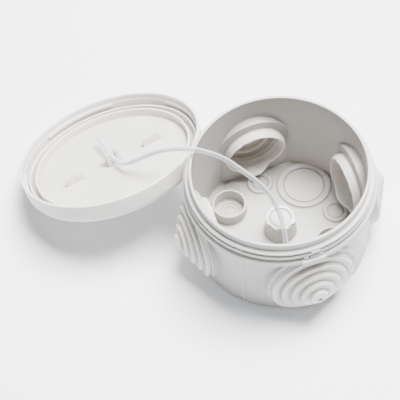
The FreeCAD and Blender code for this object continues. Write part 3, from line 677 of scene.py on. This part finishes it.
def capSurface(c):
    # a disc with a ring sunk in it; the edge's radius is read from the torn outline, and the edge
    # rises and falls by 0.12 sin(5 t + 1) + 0.08 sin(11 t)
    foot, top = c["foot"] + 0.02, c["foot"] + c["thick"]
    sunk = top - c["ringSink"]
    line = profile([(0, c["plugEnd"], 0), (c["plug"], c["plugEnd"], 0.3), (c["plug"], foot, 0.1),
                    (c["outer"], foot, 0.12), (c["outer"], top, 0.15), (c["ringOut"], top, 0.12),
                    (c["ringOut"] - 0.1, sunk, 0.1), (c["ringIn"] + 0.1, sunk, 0.1),
                    (c["ringIn"], top - c["dish"], 0.12), (0, top - c["dish"], 0)])
    cut = np.array(c["edge"])

    def tear(r, h, angle):
        edge = np.interp(np.degrees(angle) % 360, cut[:, 0], cut[:, 1], period=360)
        share = np.clip((r - c["ringOut"] - 0.1) / (c["outer"] - 0.1 - c["ringOut"]), 0, 1)
        lift = 0.12 * np.sin(angle * 5 + 1) + 0.08 * np.sin(angle * 11)
        return r + share * (edge - c["outer"]), h + share * lift * (h > c["foot"])

    return [turned(line, c["columns"], tear)]


capPiece = makePiece("post_cap_torn", capSurface(cap), "cap", "base")
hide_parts("screw_well_cap")
print("cap made")


# The lid, drawn rim down at z 0 and plate up, then laid where it rests

lid = {
    "rim": 40.0, "draft": 0.3, "height": 9.7, "round": 4.0, "plate": 8.2, "mouth": 38.9, "mouthDepth": 2.6,
    "skirt": 38.6, "skirtTop": 5.9, "shoulder": 7.7,
    "sealOut": (36.5, 37.4, 4.9), "sealIn": (33.6, 34.6, 4.7),  # inner and outer radius, and lower end
    # snap ribs: section, fillet, middles, half length in degrees, columns, bevel
    "snap": [(37.95, 2.75), (39.0, 2.6), (39.0, 4.4), (37.95, 4.0)], "snapFillet": 0.25,
    "snapMiddles": (0, 90, 180, 270), "snapHalf": 25, "snapColumns": 40, "snapBevel": 0.3,
    # the snap ribs are painted lighter all over, a painted highlight
    "snapPaintedHighlight": 0.8,
    # blocks on the plate's inner side, each at both sides of the middle: size, distance, fillet and
    # lean of the upright ribs, their low ends, the clip posts and the posts' feet
    "blocks": [((8.4, 1.1, 3.6), 18.7, 0.25, (0, 0.03)), ((3.6, 0.7, 0.5), 24.3, 0.15, (0, 0)),
               ((1.9, 3.6, 5.8), 2.25, 0.35, (0.02, 0.03)), ((1.9, 1.4, 1.3), 3.6, 0.4, (0.5, 0.02))],
    # the blocks are painted darker and browner all over, a painted shade
    "blockPaintedShade": -0.4,
    "centre": (-58.04, 52.22, 23.54), "turns": (284.34, 156.84, 92.69), "columns": 288, "longest": 4.0,
}


def lidShell(s):
    # the section of plate, two sealing rings, skirt and outside, turned about Z, with the snap ribs
    top, out, plate = s["height"], s["rim"] - s["draft"], s["plate"]
    inIn, inOut, inEnd = s["sealIn"]
    outIn, outOut, outEnd = s["sealOut"]
    line = profile([(0, plate, 0), (inIn, plate, 0.4), (inIn + 0.05, inEnd, 0.35), (inOut, inEnd, 0.35),
                    (inOut, plate, 0.25), (outIn, plate, 0.25), (outIn, outEnd, 0.3), (outOut, outEnd, 0.35),
                    (outOut + 0.1, s["shoulder"], 0.4), (s["skirt"], s["skirtTop"], 1.2),
                    (s["skirt"], s["mouthDepth"], 0.25), (s["mouth"], s["mouthDepth"] - 0.25, 0.2),
                    (s["mouth"], 0, 0.25), (s["rim"], 0, 0.4), (out, top, s["round"]), (0, top, 0)], 8)
    shell = [turned(filled(line, s["longest"]), s["columns"])]
    rib = loopOf(s["snap"], s["snapFillet"])
    for middle in s["snapMiddles"]:
        ends = middle - s["snapHalf"], middle + s["snapHalf"]
        bar = arcBar(rib, *ends, s["snapColumns"], s["snapBevel"])
        # painted highlight over the whole snap rib
        shell += toned(bar, s["snapPaintedHighlight"])
    return shell


def lidFittings(s):
    # rounded blocks that stand on the plate's inner side
    flip = np.array([[1, 0, 0], [0, -1, 0], [0, 0, -1]])
    found = []
    for side in (-1, 1):
        for size, away, fillet, lean in s["blocks"]:
            # painted shade over the whole block
            block = toned(softBlock(size, fillet, lean), s["blockPaintedShade"])
            found += placed(block, flip, (side * away, 0, s["plate"]))
    return found


first, second, third = lid["turns"]
lidTurn = turnMatrix("Z", first) @ turnMatrix("Y", second) @ turnMatrix("Z", third)
lidPiece = makePiece("lid_moulding", placed(lidShell(lid) + lidFittings(lid), lidTurn, lid["centre"]),
                     "lid", "lid")
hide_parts("lid_shell")
print("lid made, faces", len(lidPiece.data.polygons))


# Materials

class Wire:
    # a socket's value in sums: + - * ** and their reflected forms add Math nodes
    def __init__(self, shader, socket):
        self.shader, self.socket = shader, socket

    def maths(self, kind, a, b):
        return self.shader.node("ShaderNodeMath", {"operation": kind}, {0: a, 1: b})

    def __add__(self, other):
        return self.maths("ADD", self, other)

    def __radd__(self, other):
        return self.maths("ADD", other, self)

    def __sub__(self, other):
        return self.maths("SUBTRACT", self, other)

    def __rsub__(self, other):
        return self.maths("SUBTRACT", other, self)

    def __mul__(self, other):
        return self.maths("MULTIPLY", self, other)

    def __rmul__(self, other):
        return self.maths("MULTIPLY", other, self)

    def __pow__(self, other):
        return self.maths("POWER", self, other)

    def __rpow__(self, other):
        return self.maths("POWER", other, self)

    def atLeast(self, other):
        return self.maths("MAXIMUM", self, other)


class Shader:
    def __init__(self, name):
        self.material = bpy.data.materials.new(name)
        self.material.use_nodes = True
        self.tree = self.material.node_tree
        self.tree.nodes.clear()

    def node(self, kind, settings=None, values=None, out=0):
        # a node of any type: settings first, then a value or a link for each socket
        made = self.tree.nodes.new(kind)
        for key, value in (settings or {}).items():
            if key == "stops":
                ramp = made.color_ramp
                while len(ramp.elements) < len(value):
                    ramp.elements.new(0.5)
                for stop, (place, color) in zip(ramp.elements, value):
                    stop.position, stop.color = place, color
            else:
                setattr(made, key, value)
        for key, value in (values or {}).items():
            if isinstance(value, Wire):
                self.tree.links.new(value.socket, made.inputs[key])
            else:
                made.inputs[key].default_value = value
        return Wire(self, made.outputs[out])

    def noise(self, scale, detail=2.0, roughness=0.5):
        place = self.node("ShaderNodeTexCoord", out="Object")
        return self.node("ShaderNodeTexNoise", {}, {"Vector": place, "Scale": scale, "Detail": detail,
                                                    "Roughness": roughness})

    def ramp(self, factor, stops):
        return self.node("ShaderNodeValToRGB", {"stops": stops}, {0: factor})

    def blendColors(self, factor, a, b):
        return self.node("ShaderNodeMix", {"data_type": "RGBA"}, {0: factor, 6: a, 7: b}, out=2)

    def finish(self, shader):
        out = self.tree.nodes.new("ShaderNodeOutputMaterial")
        self.tree.links.new(shader.socket, out.inputs["Surface"])
        return self.material


# light and dark are the ends of the slow colour drift, grain is the strength of the bump, shade how far
# hollow corners are painted towards a dark brown as painted shade, the next two how far edges are painted
# lighter as painted highlight and by what factor, and glow how much light gets through
mouldings = {
    "housing": {
        "light": (0.46, 0.44, 0.416, 1), "dark": (0.423, 0.405, 0.383, 1), "rough": 0.42, "grain": 0.05,
        "shade": 0.6, "paintedHighlight": 0.6, "paintedHighlightTone": 1.35, "glow": 0.0},
    "lid": {
        "light": (0.68, 0.651, 0.612, 1), "dark": (0.626, 0.599, 0.563, 1), "rough": 0.4, "grain": 0.04,
        "shade": 0.4, "paintedHighlight": 0.6, "paintedHighlightTone": 1.35, "glow": 0.25},
    "grommet": {
        "light": (0.6, 0.573, 0.543, 1), "dark": (0.552, 0.527, 0.5, 1), "rough": 0.5, "grain": 0.10,
        "shade": 0.8, "paintedHighlight": 0.9, "paintedHighlightTone": 1.6, "glow": 0.55},
    "cap": {
        "light": (0.6, 0.577, 0.552, 1), "dark": (0.552, 0.531, 0.508, 1), "rough": 0.46, "grain": 0.08,
        "shade": 0.8, "paintedHighlight": 0.9, "paintedHighlightTone": 1.5, "glow": 0.05},
}
# the colour factor of the painted shade in hollow corners, then the subsurface colour and depth
paintedShadeTone, glowColor, glowDepth = (0.50, 0.46, 0.42), (1.0, 0.97, 0.94), 0.003


def mouldedPlastic(name, s):
    # pale plastic: slow colour drift from the melt, a fine eroded-mould grain, faint scuffs, and painted
    # shade in hollow corners and painted highlight on edges
    m = Shader(name)
    drift, speck = m.noise(35, 3, 0.55), m.noise(900, 2, 0.6)
    scuff, pits = m.noise(160, 4, 0.7), m.noise(2600, 1, 0.5)
    color = m.ramp(drift * 0.8 + speck * 0.2, [(0.35, s["dark"]), (0.65, s["light"])])
    crease = m.node("ShaderNodeAttribute", {"attribute_name": "crease"}, out="Fac")
    shadeColor = [v * k for v, k in zip(s["dark"], paintedShadeTone)] + [1]
    highlightColor = [min(v * s["paintedHighlightTone"], 1) for v in s["light"][:3]] + [1]
    # painted shade in hollow corners, then painted highlight on outer corners, read from the attribute
    color = m.blendColors((0 - crease).atLeast(0.0) * s["shade"], color, shadeColor)
    color = m.blendColors(crease.atLeast(0.0) * s["paintedHighlight"], color, highlightColor)
    rough = s["rough"] + (scuff - 0.5) * 0.16 + (drift - 0.5) * 0.08
    bump = m.node("ShaderNodeBump", {}, {"Strength": s["grain"], "Distance": 0.0003,
                                         "Height": speck * 0.6 + pits * 0.4})
    surface = m.node("ShaderNodeBsdfPrincipled", {}, {
        "Base Color": color, "Roughness": rough, "Normal": bump, "IOR": 1.47, "Specular IOR Level": 0.42,
        "Subsurface Weight": s["glow"], "Subsurface Radius": glowColor, "Subsurface Scale": glowDepth})
    return m.finish(surface)


cordLook = {
    "milkDark": (0.33, 0.32, 0.36, 1), "milkLight": (0.42, 0.41, 0.45, 1), "edge": (0.96, 0.96, 0.96, 1),
    "edgeFade": 0.8, "clear": 0.33, "edgeCover": 0.6, "rough": 0.14,
}


def softClear(name, s):
    # clear soft cord: see-through lilac middle, a painted highlight whitening the edges seen side-on, glossy
    # skin
    m = Shader(name)
    edge = m.node("ShaderNodeLayerWeight", {}, {"Blend": 0.5}, out="Facing") ** s["edgeFade"]
    drift = m.noise(220, 3, 0.6)
    milk = m.ramp(drift, [(0.3, s["milkDark"]), (0.7, s["milkLight"])])
    # painted highlight: the colour goes white where the surface is seen side-on
    color = m.blendColors(edge, milk, s["edge"])
    bump = m.node("ShaderNodeBump", {}, {"Strength": 0.12, "Distance": 0.0004, "Height": m.noise(500, 2)})
    body = m.node("ShaderNodeBsdfPrincipled", {}, {
        "Base Color": color, "Roughness": s["rough"] + drift * 0.12, "Normal": bump, "IOR": 1.48,
        "Specular IOR Level": 0.6, "Alpha": s["clear"] + edge * s["edgeCover"]})
    return m.finish(body)


finishes = {
    "housing": mouldedPlastic("housing plastic", mouldings["housing"]),
    "lid": mouldedPlastic("lid plastic", mouldings["lid"]),
    "grommet": mouldedPlastic("grommet soft", mouldings["grommet"]),
    "cap": mouldedPlastic("cap plastic", mouldings["cap"]),
    "cord": softClear("cord clear", cordLook),
}
slotOf = {entry["node"]: entry["material_slot"] for entry in frame["record"]["subparts"]}
for name, node in frame["nodes"].items():
    node.data.materials.clear()
    node.data.materials.append(finishes[slotOf[name]])
for piece in bpy.data.objects:
    if piece.type == "MESH" and "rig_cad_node" not in piece and "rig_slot" in piece:
        piece.data.materials.clear()
        piece.data.materials.append(finishes[piece["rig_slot"]])
print("finishes set")

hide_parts("tether_cord")
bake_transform(cord)


# Floor and light, in metres and watts

studio = {
    "floorReach": 3.0, "floorDark": (0.862, 0.872, 0.888, 1), "floorPale": (0.882, 0.892, 0.908, 1),
    "floorRough": 0.9, "floorGlow": (0.90, 0.95, 1.0, 1), "floorGlowStrength": 0.2,
    "skyColor": (1, 1, 1, 1), "skyStrength": 0.03,
    "lamps": {
        "key": {"place": (0.26, 0.15, 0.94), "aim": (0, 0, 0.02), "size": 0.55, "power": 68.0,
                "color": (0.98, 0.988, 1.0)},
        "side": {"place": (-0.9, 0.15, 0.75), "aim": (0, 0, 0.03), "size": 0.6, "power": 3.6,
                 "color": (0.93, 0.965, 1.0)},
        "front": {"place": (-0.3, -0.9, 0.3), "aim": (0, 0, 0.03), "size": 0.6, "power": 0.5,
                  "color": (0.6, 0.78, 1.0)},
    },
}


def addFloor(s):
    # one square at height 0, with a very slow drift of its pale colour
    r = s["floorReach"]
    mesh = bpy.data.meshes.new("floor")
    mesh.from_pydata([(-r, -r, 0), (r, -r, 0), (r, r, 0), (-r, r, 0)], [], [(0, 1, 2, 3)])
    floor = bpy.data.objects.new("floor", mesh)
    bpy.context.scene.collection.objects.link(floor)
    m = Shader("floor pale")
    color = m.ramp(m.noise(3, 2), [(0.3, s["floorDark"]), (0.7, s["floorPale"])])
    surface = m.node("ShaderNodeBsdfPrincipled", {}, {
        "Base Color": color, "Roughness": s["floorRough"], "Emission Color": s["floorGlow"],
        "Emission Strength": s["floorGlowStrength"]})
    mesh.materials.append(m.finish(surface))


def addLamp(name, s):
    lamp = bpy.data.lights.new(name, "AREA")
    lamp.shape, lamp.size, lamp.size_y = "RECTANGLE", s["size"], s["size"]
    lamp.energy, lamp.color = s["power"], s["color"]
    holder = bpy.data.objects.new(name, lamp)
    bpy.context.scene.collection.objects.link(holder)
    holder.location = s["place"]
    holder.rotation_mode = "QUATERNION"
    holder.rotation_quaternion = (Vector(s["aim"]) - Vector(s["place"])).to_track_quat("-Z", "Y")


addFloor(studio)
for name, lamp in studio["lamps"].items():
    addLamp(name, lamp)
world = bpy.data.worlds.new("studio")
world.use_nodes = True
sky = world.node_tree.nodes["Background"]
sky.inputs["Color"].default_value = studio["skyColor"]
sky.inputs["Strength"].default_value = studio["skyStrength"]
bpy.context.scene.world = world
print("floor and light set")
